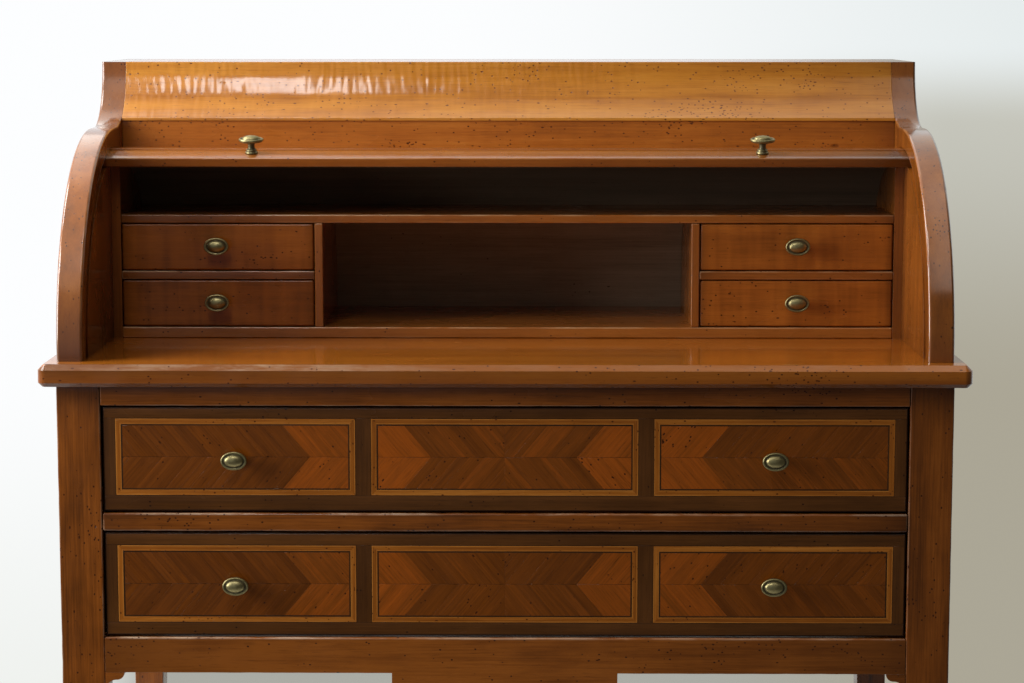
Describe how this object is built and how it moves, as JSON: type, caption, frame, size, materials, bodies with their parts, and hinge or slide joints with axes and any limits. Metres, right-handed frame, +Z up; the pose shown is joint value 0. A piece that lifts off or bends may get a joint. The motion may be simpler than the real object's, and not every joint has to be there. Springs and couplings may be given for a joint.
{
  "type": "cylinder desk",
  "caption": "Free-standing cylinder desk: curved lid that turns back over a nest of compartments and small drawers, writing board, full-width drawers below, tapered legs.",
  "frame": {"origin": "on the floor under the middle of the desk's box", "axes": "+Z up, +Y to the back, +X to the right of someone facing the desk's front"},
  "size_m": [0.983, 0.54, 1.07],
  "materials": {
    "case_wood": "stained, satin polish",
    "board_wood": "stained, satin polish",
    "drawer_front_wood": "parquetry veneer, satin polish",
    "nest_wood": "stained, satin polish",
    "lining_wood": "plain, oiled",
    "knob_brass": "aged"
  },
  "bodies": {
    "carcass": {"back_panel_lower": "lining_wood", "back_panel_upper": "lining_wood", "bottom_rail": "case_wood", "corner_brackets": "case_wood", "cove_moulding": "board_wood", "crown_board": "board_wood", "drawer_guides": "lining_wood", "drawer_kickers": "lining_wood", "drawer_runners": "lining_wood", "drawer_shelf_left": "nest_wood", "drawer_shelf_right": "nest_wood", "fascia_rail": "board_wood", "leg_front_left": "case_wood", "leg_front_right": "case_wood", "leg_rear_left": "case_wood", "leg_rear_right": "case_wood", "mid_rail": "case_wood", "nest_back": "nest_wood", "nest_base": "nest_wood", "nest_divider_left": "nest_wood", "nest_divider_right": "nest_wood", "nest_shelf": "nest_wood", "nest_side_left": "nest_wood", "nest_side_right": "nest_wood", "side_panel_left": "case_wood", "side_panel_right": "case_wood", "top_rail": "case_wood", "upper_side_left": "case_wood", "upper_side_right": "case_wood", "writing_board": "board_wood"},
    "lid": {"lid_front_rail": "board_wood", "lid_knobs": "knob_brass", "lid_panel": "board_wood"},
    "upper_drawer": {"upper_drawer_back": "lining_wood", "upper_drawer_bottom": "lining_wood", "upper_drawer_front": "drawer_front_wood", "upper_drawer_knobs": "knob_brass", "upper_drawer_side_left": "lining_wood", "upper_drawer_side_right": "lining_wood"},
    "lower_drawer": {"lower_drawer_back": "lining_wood", "lower_drawer_bottom": "lining_wood", "lower_drawer_front": "drawer_front_wood", "lower_drawer_knobs": "knob_brass", "lower_drawer_side_left": "lining_wood", "lower_drawer_side_right": "lining_wood"},
    "nest_drawer_upper_left": {"nest_drawer_upper_left_box": "lining_wood", "nest_drawer_upper_left_front": "drawer_front_wood", "nest_drawer_upper_left_knob": "knob_brass"},
    "nest_drawer_upper_right": {"nest_drawer_upper_right_box": "lining_wood", "nest_drawer_upper_right_front": "drawer_front_wood", "nest_drawer_upper_right_knob": "knob_brass"},
    "nest_drawer_lower_left": {"nest_drawer_lower_left_box": "lining_wood", "nest_drawer_lower_left_front": "drawer_front_wood", "nest_drawer_lower_left_knob": "knob_brass"},
    "nest_drawer_lower_right": {"nest_drawer_lower_right_box": "lining_wood", "nest_drawer_lower_right_front": "drawer_front_wood", "nest_drawer_lower_right_knob": "knob_brass"}
  },
  "joints": [
    {"name": "lid_turn", "type": "hinge", "parent": "carcass", "child": "lid", "pos_m": [0, -0.014, 0.767], "axis": [1, 0, 0], "range_deg": [0, 75]},
    {"name": "upper_drawer_slide", "type": "slide", "parent": "carcass", "child": "upper_drawer", "axis": [0, -1, 0], "range_m": [0, 0.33]},
    {"name": "lower_drawer_slide", "type": "slide", "parent": "carcass", "child": "lower_drawer", "axis": [0, -1, 0], "range_m": [0, 0.33]},
    {"name": "nest_drawer_upper_left_slide", "type": "slide", "parent": "carcass", "child": "nest_drawer_upper_left", "axis": [0, -1, 0], "range_m": [0, 0.09]},
    {"name": "nest_drawer_upper_right_slide", "type": "slide", "parent": "carcass", "child": "nest_drawer_upper_right", "axis": [0, -1, 0], "range_m": [0, 0.09]},
    {"name": "nest_drawer_lower_left_slide", "type": "slide", "parent": "carcass", "child": "nest_drawer_lower_left", "axis": [0, -1, 0], "range_m": [0, 0.11]},
    {"name": "nest_drawer_lower_right_slide", "type": "slide", "parent": "carcass", "child": "nest_drawer_lower_right", "axis": [0, -1, 0], "range_m": [0, 0.11]}
  ]
}
